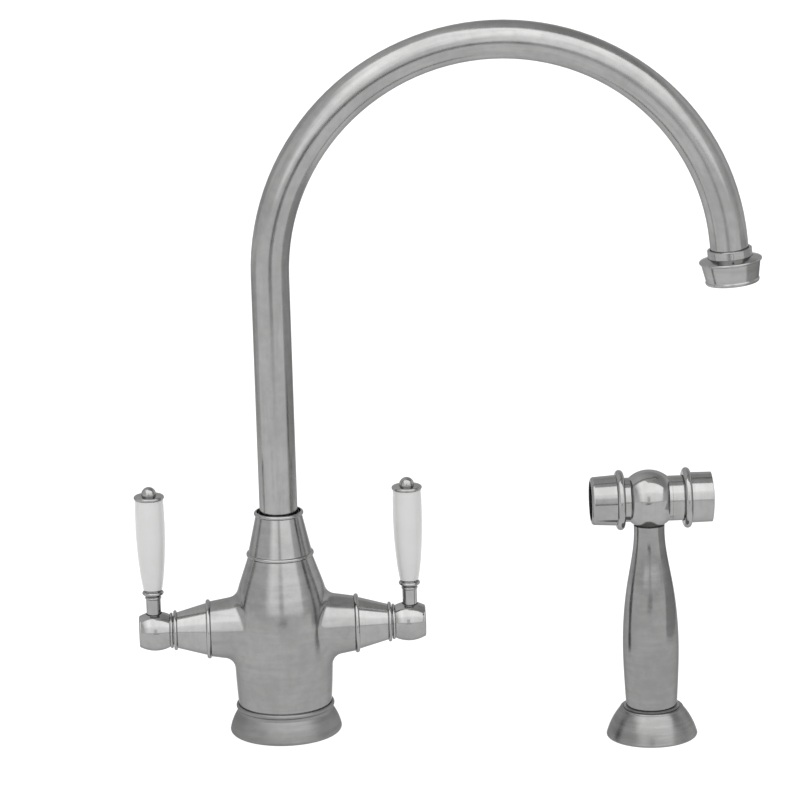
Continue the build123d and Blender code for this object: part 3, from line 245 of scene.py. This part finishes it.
round_the_room = calc(tree, "MULTIPLY_ADD", heading, 0.5 / pi, 0.5)
walls = product(tree, grey_ramp(tree, round_the_room, wall_greys), wall_bright)
ceiling = fade(tree, way[0], -ceiling_reach, ceiling_reach, ceiling_left, ceiling_right)
room = mix(tree, fade(tree, way[2], wall_top, ceiling_edge), walls, ceiling)
forward_and_up = calc(tree, "SUBTRACT", way[2], way[1])
light = fade(tree, forward_and_up, -light_reach, light_reach, least_light, most_light)
brightness = mix(tree, seen_directly(tree), light, room)
camera_ray = add_node(tree, "ShaderNodeLightPath").outputs["Is Camera Ray"]
strength = calc(tree, "MAXIMUM", brightness, camera_ray)
background = add_node(tree, "ShaderNodeBackground", Color=white, Strength=strength)
add_node(tree, "ShaderNodeOutputWorld", Surface=background.outputs[0])

# the soft box: a quarter of a drum, with its foot and its upper edge given in degrees. The edge comes less
# far over on the right. The box's brightness changes from its foot up and from left to right.
box_reach = 3.2
box_centre_height = 0.1
box_foot = 3.6
box_tops = ((-3.1, 93.0), (-0.5, 93.0), (0.1, 80.0), (4.1, 76.0))
box_left = box_tops[0][0]
box_right = box_tops[-1][0]
box_bright = 2.43
upward_greys = ((0.0, 0.74), (0.3, 0.78), (0.58, 0.84), (0.70, 1.0), (1.0, 1.0))
rightward_greys = (
    (0.0, 0.5), (0.11, 0.78), (0.22, 1.0), (0.33, 0.90), (0.44, 0.94), (0.94, 0.93), (1.0, 0.75),
)
gap_place = -0.10
gap_half_width = 0.30
gap_edge = 0.06
gap_top, gap_end = 0.32, 0.50
gap_grey = 0.60
box_steps = 36
points, faces = [], []
for x, top in box_tops:
    for i in range(box_steps + 1):
        angle = radians(box_foot + (top - box_foot) * i / box_steps)
        points.append((x, -box_reach * cos(angle), box_centre_height + box_reach * sin(angle)))
for strip in range(len(box_tops) - 1):
    for i in range(box_steps):
        corner = strip * (box_steps + 1) + i
        beside = corner + box_steps + 1
        faces.append((corner, beside, beside + 1, corner + 1))
cloth, tree = empty_material("soft_box")
place = parts(tree, own_place(tree))
climb = calc(tree, "DIVIDE", calc(tree, "SUBTRACT", place[2], box_centre_height), box_reach)
across = calc(tree, "DIVIDE", calc(tree, "SUBTRACT", place[0], box_left), box_right - box_left)
aside = calc(tree, "ABSOLUTE", calc(tree, "SUBTRACT", place[0], gap_place))
beside_gap = fade(tree, aside, gap_half_width - gap_edge, gap_half_width + gap_edge, gap_grey, 1.0)
above_gap = fade(tree, climb, gap_top, gap_end, gap_grey, 1.0)
clear_of_gap = calc(tree, "MAXIMUM", beside_gap, above_gap)
by_height = grey_ramp(tree, climb, upward_greys)
by_side = grey_ramp(tree, across, rightward_greys)
end_material(tree, glow(tree, product(tree, by_height, by_side, clear_of_gap, box_bright)))
leave_only_mirrored(add_sheet("soft_box", points, faces, cloth))

# ---------------------------------------------------------------- body casting
# Cast brass, ground, brushed and nickel plated in one piece with its two side sockets. The belt has
# left fine lines round the body, with cloudier patches where the hand went back over it. Underneath,
# the casting is bare brass, with tapped holes for the two tails, the spray hose and the two studs.


def noise(tree, place, scale=1.0, detail=2.0):
    """Noise from 0 to 1, mostly near a half."""
    return add_node(tree, "ShaderNodeTexNoise", Vector=place, Scale=scale, Detail=detail).outputs[0]


def vector(tree, x=0.0, y=0.0, z=0.0):
    """A vector of three numbers."""
    return add_node(tree, "ShaderNodeCombineXYZ", X=x, Y=y, Z=z).outputs[0]


def blend(tree, share, low, high):
    """The colour that lies between two others at a share from 0 to 1."""
    made = add_node(tree, "ShaderNodeMix", data_type="RGBA", Factor=share, in_6=low, in_7=high)
    return made.outputs[2]


def relief(tree, height, strength, depth, **others):
    """A bump of the given depth."""
    return add_node(tree, "ShaderNodeBump", Strength=strength, Distance=depth, Height=height, **others)


def end_finish(tree, colour, roughness, bump, **others):
    """Gives a material's tree a surface of the given colour, roughness and bump."""
    shader = add_node(
        tree, "ShaderNodeBsdfPrincipled", Base_Color=colour, Roughness=roughness, Normal=bump.outputs[0],
        **others,
    )
    end_material(tree, shader)


def brush_lines(tree, place, way, across_scale, along_scale):
    """The vector in which a noise becomes brush lines that run round x, round z or along z."""
    if way == "round_x":
        scale = (across_scale, along_scale, along_scale)
    elif way == "round_z":
        scale = (along_scale, along_scale, across_scale)
    else:
        scale = (across_scale, across_scale, along_scale)
    return add_node(tree, "ShaderNodeVectorMath", operation="MULTIPLY", in_0=place, in_1=scale).outputs[0]


def nickel(name, way, roughness, streaking, shade=1.0, bare_below=-1.0, brushed_place=own_place):
    """Brushed nickel plate, with bare brass below a given height. Streaking is how much its strokes show."""
    # shade below 1 darkens this piece's plate against the same nickel elsewhere: painted shade for the darker
    # reflections that it shows
    dark_nickel = (0.285 * shade, 0.284 * shade, 0.282 * shade, 1)
    light_nickel = (0.345 * shade, 0.344 * shade, 0.342 * shade, 1)
    bare_brass = (0.66, 0.46, 0.20, 1)
    stroke_scales = (430, 32)
    scratch_scales = (2600, 110)
    scratch_share = 0.75
    edge_radius = 0.00025
    smoothest = 0.05
    material, tree = empty_material(name)
    place = own_place(tree)
    brushed = brushed_place(tree)
    strokes = noise(tree, brush_lines(tree, brushed, way, *stroke_scales), detail=3.0)
    patches = noise(tree, place, scale=42.0, detail=3.0)
    mottle = calc(tree, "SUBTRACT", noise(tree, place, scale=260.0, detail=3.0), 0.5)
    stroke_strength = fade(tree, patches, 0.40, 0.62, low=0.3)
    worked = product(tree, calc(tree, "SUBTRACT", strokes, 0.5), stroke_strength)
    cloudy = calc(tree, "MULTIPLY_ADD", mottle, 0.7, patches)
    tone = calc(tree, "MULTIPLY_ADD", worked, 3.0 * streaking, cloudy)
    plate = blend(tree, fade(tree, tone, 0.15, 0.85), dark_nickel, light_nickel)
    below = calc(tree, "LESS_THAN", parts(tree, place)[2], bare_below)
    colour = blend(tree, below, plate, bare_brass)
    rough = calc(tree, "MULTIPLY_ADD", worked, 0.25 * streaking, roughness)
    rough = calc(tree, "MULTIPLY_ADD", mottle, 0.05, rough)
    rough = calc(tree, "MAXIMUM", rough, smoothest)
    scratches = product(tree, noise(tree, brush_lines(tree, brushed, way, *scratch_scales)), scratch_share)
    grain = product(tree, noise(tree, place, scale=1900.0, detail=1.0), 1 - scratch_share)
    soft_edges = add_node(tree, "ShaderNodeBevel", samples=4, Radius=edge_radius)
    bump = relief(
        tree, calc(tree, "ADD", scratches, grain), strength=0.03 + 0.06 * streaking, depth=0.0002,
        Normal=soft_edges.outputs[0],
    )
    end_finish(tree, colour, rough, bump, Metallic=1.0, Specular_Tint=(0.5, 0.5, 0.5, 1))
    return material


def turned_brass(name):
    """Bare free-cutting brass as it comes off the lathe, with fine turning marks."""
    mark_scales = (2200, 90)
    material, tree = empty_material(name)
    place = own_place(tree)
    marks = noise(tree, brush_lines(tree, place, "round_z", *mark_scales))
    stain = noise(tree, place, scale=120.0, detail=3.0)
    colour = blend(tree, stain, (0.56, 0.38, 0.15, 1), (0.74, 0.53, 0.24, 1))
    rough = calc(tree, "MULTIPLY_ADD", marks, 0.16, 0.2)
    end_finish(tree, colour, rough, relief(tree, marks, strength=0.15, depth=0.0002), Metallic=1.0)
    return material


def dress(material, *nodes):
    """Gives CAD nodes their finish."""
    for node in nodes:
        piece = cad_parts[node]
        piece.data.materials.clear()
        piece.data.materials.append(material)


def new_recipe(name, *sizes):
    """A Geometry Nodes tree with a number for each size and a finish. Returns it with its inputs by name."""
    tree = bpy.data.node_groups.new(name, "GeometryNodeTree")
    tree.interface.new_socket("Points", in_out="INPUT", socket_type="NodeSocketGeometry")
    for size in sizes:
        tree.interface.new_socket(size, in_out="INPUT", socket_type="NodeSocketFloat")
    tree.interface.new_socket("Finish", in_out="INPUT", socket_type="NodeSocketMaterial")
    tree.interface.new_socket("Piece", in_out="OUTPUT", socket_type="NodeSocketGeometry")
    return tree, tree.nodes.new("NodeGroupInput").outputs


def round_outline(tree, radius, corners):
    """A circle with the given number of corners."""
    return add_node(tree, "GeometryNodeCurvePrimitiveCircle", in_0=corners, Radius=radius).outputs[0]


def sweep(tree, path, outline):
    """Draws an outline along a path, with closed ends."""
    made = add_node(tree, "GeometryNodeCurveToMesh", Curve=path, Profile_Curve=outline, Fill_Caps=True)
    return made.outputs[0]


def keep_upright(tree, path):
    """Keeps an outline upright on its way along a path."""
    return add_node(tree, "GeometryNodeSetCurveNormal", mode="Z_UP", Curve=path).outputs[0]


def helix(tree, radius, height, turns, steps):
    """A line that winds upwards, with the given number of steps to a turn."""
    wound = add_node(
        tree, "GeometryNodeCurveSpiral", Resolution=steps, Rotations=turns, Start_Radius=radius,
        End_Radius=radius, Height=height,
    )
    return wound.outputs[0]


def set_at(tree, points, shape, **how):
    """Sets a copy of a shape at each point and makes the copies real."""
    copies = add_node(tree, "GeometryNodeInstanceOnPoints", Points=points, Instance=shape, **how)
    return add_node(tree, "GeometryNodeRealizeInstances", Geometry=copies.outputs[0]).outputs[0]


def end_recipe(tree, given, shape, tilt=0.0):
    """Sets the shape at each point, tilted by a turn about y, and gives it its finish."""
    whole = set_at(tree, given["Points"], shape, Rotation=vector(tree, y=tilt))
    dressed = add_node(tree, "GeometryNodeSetMaterial", Geometry=whole, Material=given["Finish"])
    add_node(tree, "NodeGroupOutput", Piece=dressed.outputs[0])
    return tree


def follow_recipe(name, recipe, starts, **sizes):
    """Makes a recipe at the given points and returns it as a plain mesh."""
    seed = bpy.data.meshes.new(name)
    seed.from_pydata(starts, [], [])
    piece = bpy.data.objects.new(name, seed)
    scene.collection.objects.link(piece)
    modifier = piece.modifiers.new("recipe", "NODES")
    modifier.node_group = recipe
    for item in recipe.interface.items_tree:
        if item.name in sizes:
            modifier[item.identifier] = sizes[item.name]
    whole = piece.evaluated_get(bpy.context.evaluated_depsgraph_get())
    mesh = bpy.data.meshes.new_from_object(whole)
    piece.modifiers.remove(modifier)
    piece.data = mesh
    bpy.data.meshes.remove(seed)
    return piece


# a cut thread: a ridge that winds up the wall of each hole, with its crest towards the hole's axis
ridge_share = 0.32
tree, given = new_recipe("cut_thread", "Radius", "Depth", "Pitch")
turns = calc(tree, "DIVIDE", given["Depth"], given["Pitch"])
winding = helix(tree, given["Radius"], given["Depth"], turns, steps=28)
ridge = round_outline(tree, product(tree, given["Pitch"], ridge_share), corners=4)
thread_recipe = end_recipe(tree, given, sweep(tree, keep_upright(tree, winding), ridge))

base_height = 0.0156
thread_start = 0.0006
port_spacing = 0.013
stud_spacing = 0.014
# the body's nickel is darkened by shade 0.89: painted shade for its darker reflections
body_nickel = nickel(
    "nickel_brushed_round_the_body", "round_z", roughness=0.17, streaking=0.35, shade=0.89,
    bare_below=base_height,
)
brass = turned_brass("turned_brass")
dress(body_nickel, "body_casting")
ports = follow_recipe(
    "port_threads", thread_recipe, [(x, 0, thread_start) for x in (0, -port_spacing, port_spacing)],
    Radius=0.00446, Depth=0.0088, Pitch=0.001, Finish=brass,
)
stud_holes = follow_recipe(
    "stud_threads", thread_recipe, [(0, y, thread_start) for y in (-stud_spacing, stud_spacing)],
    Radius=0.0034, Depth=0.0105, Pitch=0.00125, Finish=brass,
)
for piece in (ports, stud_holes):
    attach(piece, "root")

# ---------------------------------------------------------------- base flange and deck gasket
# The flange is a turned brass bell with a bead at its neck, plated like the body that stands in it.
# The gasket is a flat ring of black rubber let into its underside.


def rubber(name):
    """Black moulded rubber: matt, with a fine pebbled skin."""
    material, tree = empty_material(name)
    place = own_place(tree)
    pebbles = noise(tree, place, scale=2400.0)
    bloom = noise(tree, place, scale=180.0, detail=3.0)
    colour = blend(tree, bloom, (0.022, 0.022, 0.022, 1), (0.044, 0.044, 0.044, 1))
    rough = calc(tree, "MULTIPLY_ADD", bloom, 0.2, 0.55)
    end_finish(tree, colour, rough, relief(tree, pebbles, strength=0.3, depth=0.0002))
    return material


# the base's nickel is darkened by shade 0.70: painted shade for the darker reflections on the bell
base_nickel = nickel("nickel_brushed_round_the_base", "round_z", roughness=0.45, streaking=1.0, shade=0.70)
black_rubber = rubber("black_rubber")
dress(base_nickel, "base_flange")
dress(black_rubber, "deck_gasket")

# ---------------------------------------------------------------- spout collar, washer and bush
# The conical nut that holds the spout down: turned, polished and plated, with a bead at each end. Under
# it lie a steel thrust washer and the white acetal bush in which the spout turns.


def bright_steel(name):
    """Drawn stainless steel, with a faint grain from the die."""
    material, tree = empty_material(name)
    lines = noise(tree, own_place(tree), scale=1500.0)
    colour = blend(tree, lines, (0.50, 0.51, 0.52, 1), (0.62, 0.63, 0.64, 1))
    rough = calc(tree, "MULTIPLY_ADD", lines, 0.15, 0.18)
    end_finish(tree, colour, rough, relief(tree, lines, strength=0.1, depth=0.0001), Metallic=1.0)
    return material


def satin_solid(name, dark, light, roughness):
    """Moulded plastic or ground ceramic: one colour right through, faintly mottled, with a satin skin."""
    material, tree = empty_material(name)
    place = own_place(tree)
    mottle = noise(tree, place, scale=260.0, detail=3.0)
    skin = noise(tree, place, scale=3000.0, detail=1.0)
    colour = blend(tree, mottle, (*dark, 1), (*light, 1))
    rough = calc(tree, "MULTIPLY_ADD", mottle, 0.12, roughness)
    end_finish(tree, colour, rough, relief(tree, skin, strength=0.12, depth=0.0001))
    return material


# the collar's nickel is darkened by shade 0.94: painted shade for its darker reflections
collar_nickel = nickel(
    "nickel_polished_round_the_collar", "round_z", roughness=0.15, streaking=0.25, shade=0.94
)
stainless = bright_steel("stainless_steel")
acetal = satin_solid("white_acetal", dark=(0.68, 0.68, 0.66), light=(0.78, 0.78, 0.76), roughness=0.35)
dress(collar_nickel, "spout_collar")
dress(stainless, "thrust_washer")
dress(acetal, "spout_bush")

# ---------------------------------------------------------------- spout
# Drawn brass tube bent to a wide arch, brushed along its length and nickel plated, brazed to a turned
# brass foot that carries two sealing rings.
arch_radius = 0.1134
arch_height = 0.234


def unrolled_spout(tree):
    """The place on the spout as if its arch were unrolled: its height is the way along the tube."""
    x, y, z = parts(tree, own_place(tree))
    sideways = calc(tree, "SUBTRACT", x, arch_radius)
    rise = calc(tree, "SUBTRACT", z, arch_height)
    above = calc(tree, "MAXIMUM", rise, 0.0)
    below = calc(tree, "MINIMUM", rise, 0.0)
    round_arch = product(tree, calc(tree, "ARCTAN2", above, sideways), arch_radius)
    squares = calc(tree, "ADD", calc(tree, "POWER", sideways, 2.0), calc(tree, "POWER", above, 2.0))
    return vector(tree, calc(tree, "SQRT", squares), y, calc(tree, "ADD", round_arch, below))


spout_nickel = nickel(
    "nickel_brushed_along_the_spout", "along_z", roughness=0.19, streaking=0.5, brushed_place=unrolled_spout
)
dress(spout_nickel, "spout_tube")
dress(brass, "spout_foot")
dress(black_rubber, "spout_seals")

# ---------------------------------------------------------------- nozzle
# A soldered collar with a key slot in its front, and the flared cup that screws on to it and holds the
# aerator with its rubber washer. Behind the aerator's honeycomb lies a woven steel screen.
nozzle_nickel = nickel("nickel_polished_round_the_nozzle", "round_z", roughness=0.16, streaking=0.4)
dress(nozzle_nickel, "nozzle_collar", "nozzle_cup")
dress(black_rubber, "aerator_washer")
dress(acetal, "aerator_insert")


def spot(tree):
    """The three numbers of the place of each point."""
    return parts(tree, add_node(tree, "GeometryNodeInputPosition").outputs[0])


# a woven screen: wires in two directions, cut off at its edge, each passing over and under the others
steps_between_wires = 3.0
tree, given = new_recipe("woven_screen", "Radius", "Spacing", "Wire", "Tilt")
radius, spacing, gauge = given["Radius"], given["Spacing"], given["Wire"]
wires = calc(tree, "FLOOR", calc(tree, "DIVIDE", product(tree, radius, 2.0), spacing))
span = product(tree, calc(tree, "SUBTRACT", wires, 1.0), spacing)
row = add_node(
    tree, "GeometryNodeMeshLine", mode="OFFSET", Count=wires,
    Start_Location=vector(tree, product(tree, span, -0.5)), Offset=vector(tree, spacing),
)
x, y = spot(tree)[:2]
left_over = calc(tree, "SUBTRACT", product(tree, radius, radius), calc(tree, "POWER", x, 2.0))
chord = vector(tree, 1.0, calc(tree, "SQRT", left_over), 1.0)
one_wire = add_node(tree, "GeometryNodeCurvePrimitiveLine", Start=(0, -1, 0), End=(0, 1, 0))
laid = set_at(tree, row.outputs[0], one_wire.outputs[0], Scale=chord)
divided = add_node(
    tree, "GeometryNodeResampleCurve", mode="LENGTH", Curve=laid,
    Length=calc(tree, "DIVIDE", spacing, steps_between_wires),
)
sway_x = calc(tree, "COSINE", product(tree, calc(tree, "DIVIDE", x, spacing), pi))
sway_y = calc(tree, "COSINE", product(tree, calc(tree, "DIVIDE", y, spacing), pi))
over_under = vector(tree, z=product(tree, sway_x, sway_y, gauge, 0.5))
woven = add_node(tree, "GeometryNodeSetPosition", Geometry=divided.outputs[0], Offset=over_under)
crossing = add_node(tree, "GeometryNodeTransform", Geometry=woven.outputs[0], Rotation=(pi, 0, pi / 2))
both = add_node(tree, "GeometryNodeJoinGeometry", Geometry=woven.outputs[0])
tree.links.new(crossing.outputs[0], both.inputs[0])
drawn = sweep(tree, both.outputs[0], round_outline(tree, product(tree, gauge, 0.5), corners=5))
screen_recipe = end_recipe(tree, given, drawn, given["Tilt"])

outlet_lean = radians(175)
arch_end_x = arch_radius * (1 - cos(outlet_lean))
arch_end_z = arch_height + arch_radius * sin(outlet_lean)
outlet_way = Vector((sin(outlet_lean), 0, cos(outlet_lean)))
screen_drop = 0.0191
screen_centre = Vector((arch_end_x, 0, arch_end_z)) + outlet_way * screen_drop
screen = follow_recipe(
    "aerator_screen", screen_recipe, [screen_centre],
    Radius=0.0099, Spacing=0.0009, Wire=0.00022, Tilt=outlet_lean, Finish=stainless,
)
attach(screen, "spout")

# ---------------------------------------------------------------- valve arms
# Conical bonnets and lever hubs, turned from brass bar, polished and plated, with white porcelain grips
# on their levers; the ceramic cartridges inside are brass, alumina and rubber.


def porcelain(name):
    """White porcelain under a clear glaze that has pooled a little, with a few dark pinpricks."""
    material, tree = empty_material(name)
    place = own_place(tree)
    pooling = noise(tree, place, scale=90.0)
    waves = noise(tree, place, scale=320.0, detail=1.0)
    specks = noise(tree, place, scale=2600.0, detail=1.0)
    pinpricks = fade(tree, specks, 0.74, 0.80, 0.0, 0.35)
    body = blend(tree, pooling, (0.635, 0.635, 0.63, 1), (0.695, 0.695, 0.69, 1))
    colour = blend(tree, pinpricks, body, (0.30, 0.28, 0.26, 1))
    rough = calc(tree, "MULTIPLY_ADD", pooling, 0.12, 0.24)
    bump = relief(tree, waves, strength=0.08, depth=0.0004)
    end_finish(tree, colour, rough, bump, Coat_Weight=0.3, Coat_Roughness=0.08)
    return material


arm_nickel = nickel("nickel_polished_round_the_arms", "round_x", roughness=0.11, streaking=0.2)
lever_nickel = nickel("nickel_polished_round_the_levers", "round_z", roughness=0.12, streaking=0.2)
glazed = porcelain("glazed_porcelain")
alumina = satin_solid("lapped_alumina", dark=(0.78, 0.75, 0.68), light=(0.86, 0.84, 0.78), roughness=0.2)
for side in ("left", "right"):
    dress(arm_nickel, f"{side}_bonnet", f"{side}_hub")
    dress(lever_nickel, f"{side}_lever_stem", f"{side}_finial")
    dress(brass, f"{side}_cartridge_shell", f"{side}_spindle")
    dress(alumina, f"{side}_fixed_disc", f"{side}_moving_disc")
    dress(black_rubber, f"{side}_cartridge_seal", f"{side}_grip_washer")
    dress(stainless, f"{side}_hub_screw")
    dress(glazed, f"{side}_grip")

# ---------------------------------------------------------------- diverter
# Sealed in the body: a brass sleeve, an acetal piston with its rubber seal, and a wound stainless spring
# that the piston presses down on.
dress(brass, "diverter_sleeve")
dress(acetal, "diverter_piston")
dress(black_rubber, "diverter_seal")


def raised(tree, shape, height):
    """A shape, moved up."""
    moved = add_node(tree, "GeometryNodeTransform", Geometry=shape, Translation=vector(tree, z=height))
    return moved.outputs[0]


# a compression spring: round wire wound up from each point, with end turns that lie closer together
end_closeness = 0.6
tree, given = new_recipe("coil_spring", "Radius", "Wire", "Length", "Turns", "Tilt")
half_wire = product(tree, given["Wire"], 0.5)
rise = calc(tree, "SUBTRACT", given["Length"], given["Wire"])
wound = helix(tree, given["Radius"], rise, given["Turns"], steps=32)
share = calc(tree, "DIVIDE", spot(tree)[2], rise)
wave = calc(tree, "SINE", product(tree, share, 2 * pi))
drawn_in = vector(tree, z=product(tree, wave, -end_closeness / (2 * pi), rise))
laid = add_node(tree, "GeometryNodeSetPosition", Geometry=wound, Offset=drawn_in)
coil = sweep(tree, laid.outputs[0], round_outline(tree, half_wire, corners=8))
spring_recipe = end_recipe(tree, given, raised(tree, coil, half_wire), given["Tilt"])
spring_turns = 5.0


def fit_spring(name, node, body, along, wire_size):
    """Winds a spring in the place of its node, where its joint presses it together along x or z."""
    lengthways = "xyz".index(along)
    across = (lengthways + 1) % 3
    low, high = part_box(node)
    free_length = high[lengthways] - low[lengthways]
    foot = (low + high) / 2
    foot[lengthways] = low[lengthways]
    spring = follow_recipe(
        name, spring_recipe, [foot], Radius=(high[across] - low[across] - wire_size) / 2, Wire=wire_size,
        Length=free_length, Turns=spring_turns, Tilt=pi / 2 if along == "x" else 0.0, Finish=stainless,
    )
    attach(spring, body)
    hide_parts(node)
    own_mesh(spring)


fit_spring("diverter_coil", "diverter_spring", "root", along="z", wire_size=0.0007)

# ---------------------------------------------------------------- spray holder
# A domed brass flange, brushed round and plated, with a black gasket under it and an acetal guide bush
# in which the handset stands. Its throat is tapped for the hose guide under the deck.
# the holder's nickel is darkened by shade 0.70: painted shade for the darker reflections on its dome
holder_nickel = nickel(
    "nickel_brushed_round_the_holder", "round_z", roughness=0.26, streaking=1.0, shade=0.70
)
# the guide bush's white acetal is darkened to dark grey: painted shade for the joint where the handset stands
# in the flange
grey_acetal = satin_solid("grey_acetal", dark=(0.13, 0.13, 0.13), light=(0.18, 0.18, 0.175), roughness=0.35)
dress(holder_nickel, "holder_flange")
dress(black_rubber, "holder_gasket")
dress(grey_acetal, "holder_guide")
spray_x, spray_y = 0.182, -0.031
throat = follow_recipe(
    "throat_thread", thread_recipe, [(spray_x, spray_y, thread_start)],
    Radius=0.0096, Depth=0.0028, Pitch=0.001, Finish=brass,
)
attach(throat, "root")

# ---------------------------------------------------------------- spray handle and hose coupling
# The handle is a turned and bored brass grip, brushed round. The coupling in its foot is bare brass with
# a rubber ring and a spring clip, so that the handset turns on its hose.
# the handle's nickel is darkened by shade 0.80: painted shade for the darker reflections on its sides
handle_nickel = nickel(
    "nickel_brushed_round_the_handle", "round_z", roughness=0.14, streaking=0.4, shade=0.80
)
dress(handle_nickel, "spray_handle")
dress(brass, "hose_coupling")
dress(black_rubber, "coupling_seal")
dress(stainless, "coupling_clip")
hose_port_start = 0.0051
hose_port = follow_recipe(
    "hose_port_thread", thread_recipe, [(spray_x, spray_y, hose_port_start)],
    Radius=0.00695, Depth=0.0068, Pitch=0.001, Finish=brass,
)
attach(hose_port, "coupling")

# ---------------------------------------------------------------- spray head, rose and button
# A ball-shaped valve housing with a rose screwed to one end and a push button over the other. The rose
# face is dark moulded plastic, with a raised nozzle round the hole of each jet.
head_nickel = nickel("nickel_polished_round_the_head", "round_x", roughness=0.12, streaking=0.2)
dark_plastic = satin_solid(
    "dark_rose_plastic", dark=(0.035, 0.035, 0.037), light=(0.06, 0.06, 0.062), roughness=0.4
)
dress(head_nickel, "spray_head", "rose_cup", "valve_sleeve", "spray_button")
dress(dark_plastic, "rose_face")
dress(brass, "valve_stem")
dress(black_rubber, "head_seal", "rose_seal", "valve_pad")
fit_spring("button_coil", "button_spring", "handset", along="x", wire_size=0.0009)

# a jet nozzle: a low round wall that stands on the rose face
tree, given = new_recipe("jet_nozzle", "Hole", "Wall", "Rise", "Tilt")
hoop = round_outline(tree, calc(tree, "MULTIPLY_ADD", given["Wall"], 0.5, given["Hole"]), corners=20)
wall = add_node(tree, "GeometryNodeCurvePrimitiveQuadrilateral", Width=given["Wall"], Height=given["Rise"])
ring = sweep(tree, keep_upright(tree, hoop), wall.outputs[0])
half_rise = product(tree, given["Rise"], 0.5)
jet_recipe = end_recipe(tree, given, raised(tree, ring, half_rise), given["Tilt"])

face_low, face_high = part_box("rose_face")
face_centre = (face_low + face_high) / 2
ring_spacing = 0.0031
first_ring_jets = 6
jets = [Vector((face_low.x, face_centre.y, face_centre.z))]
for ring_number in (1, 2):
    jet_count = first_ring_jets * ring_number
    for i in range(jet_count):
        angle = 2 * pi * i / jet_count
        jets.append(jets[0] + ring_number * ring_spacing * Vector((0, cos(angle), sin(angle))))
nozzles = follow_recipe(
    "jet_nozzles", jet_recipe, jets, Hole=0.00056, Wall=0.0004, Rise=0.0007, Tilt=-pi / 2, Finish=dark_plastic
)
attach(nozzles, "handset")
